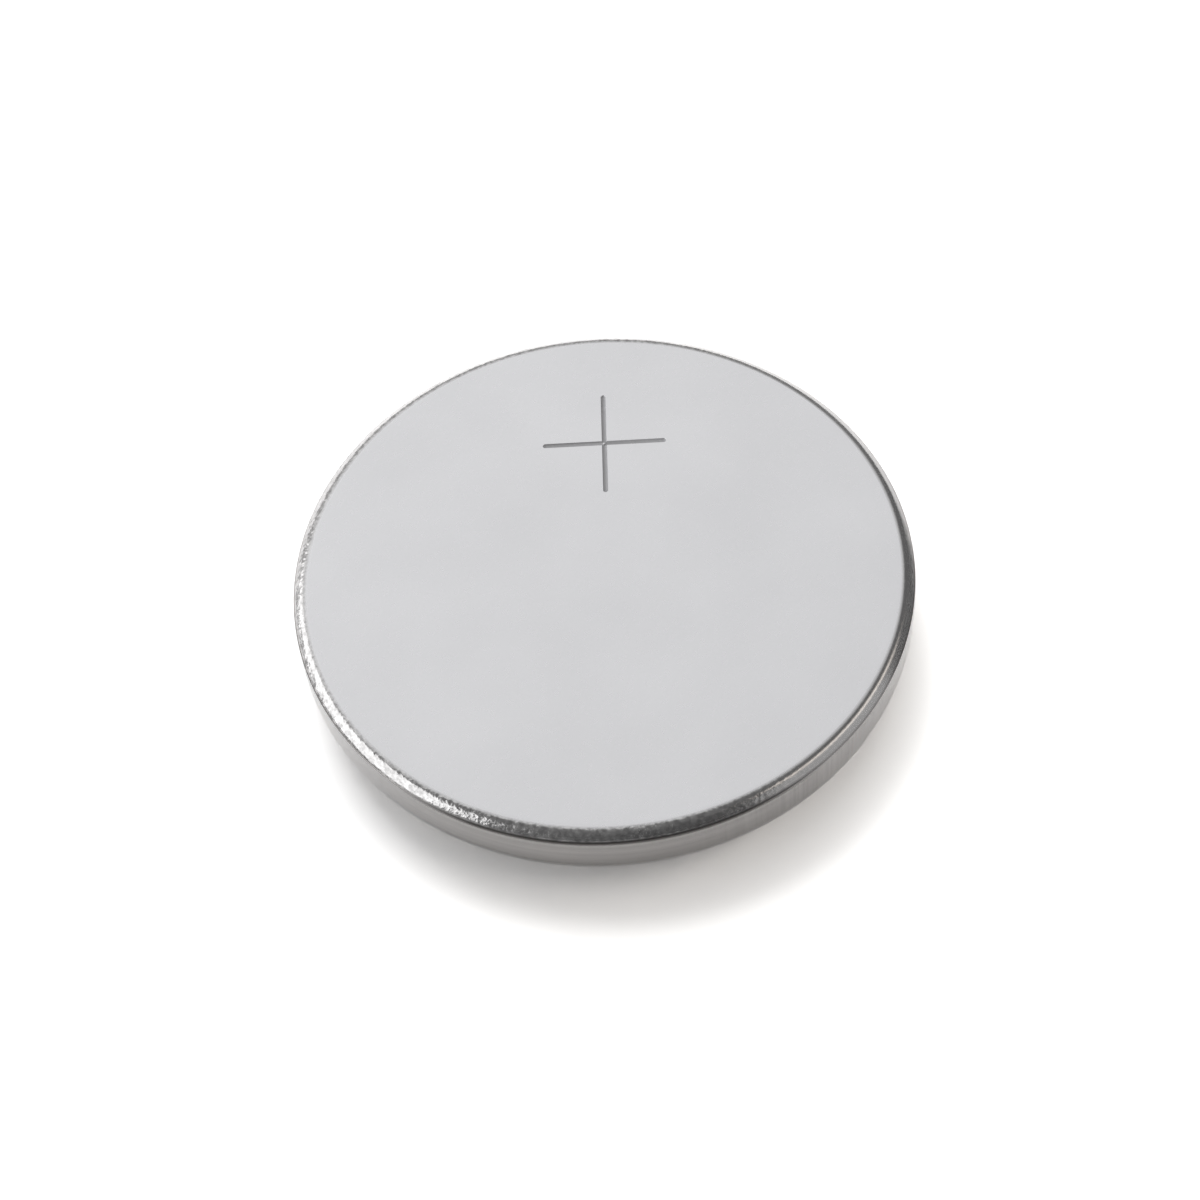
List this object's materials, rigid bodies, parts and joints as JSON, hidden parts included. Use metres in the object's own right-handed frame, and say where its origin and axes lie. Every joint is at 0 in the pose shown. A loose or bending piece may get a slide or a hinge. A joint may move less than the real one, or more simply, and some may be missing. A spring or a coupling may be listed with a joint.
{
  "type": "lithium coin cell",
  "caption": "Flat round lithium coin cell: steel can rolled in over a plastic gasket and a stepped cap, positive face up with a small plus groove.",
  "frame": {"origin": "centre of the flat negative face, which is also the middle of the bounding box's bottom", "axes": "+Z along the cell's axis, from the negative face to the positive face; the plus groove is centred near +Y, with its upright stroke along Y"},
  "size_m": [0.0125, 0.0124, 0.002],
  "materials": {
    "can_steel": "satin nickel plate on stainless steel",
    "gasket_plastic": "natural polypropylene, slightly translucent",
    "cap_steel": "satin stainless steel",
    "lithium": "dull soft metal",
    "separator_felt": "non-woven felt",
    "cathode_mix": "pressed black powder",
    "ring_steel": "bare stainless steel"
  },
  "bodies": {
    "root": {"positive_can": "can_steel", "gasket": "gasket_plastic", "negative_cap": "cap_steel", "lithium_disc": "lithium", "separator": "separator_felt", "cathode_pellet": "cathode_mix", "cathode_ring": "ring_steel"}
  },
  "joints": []
}
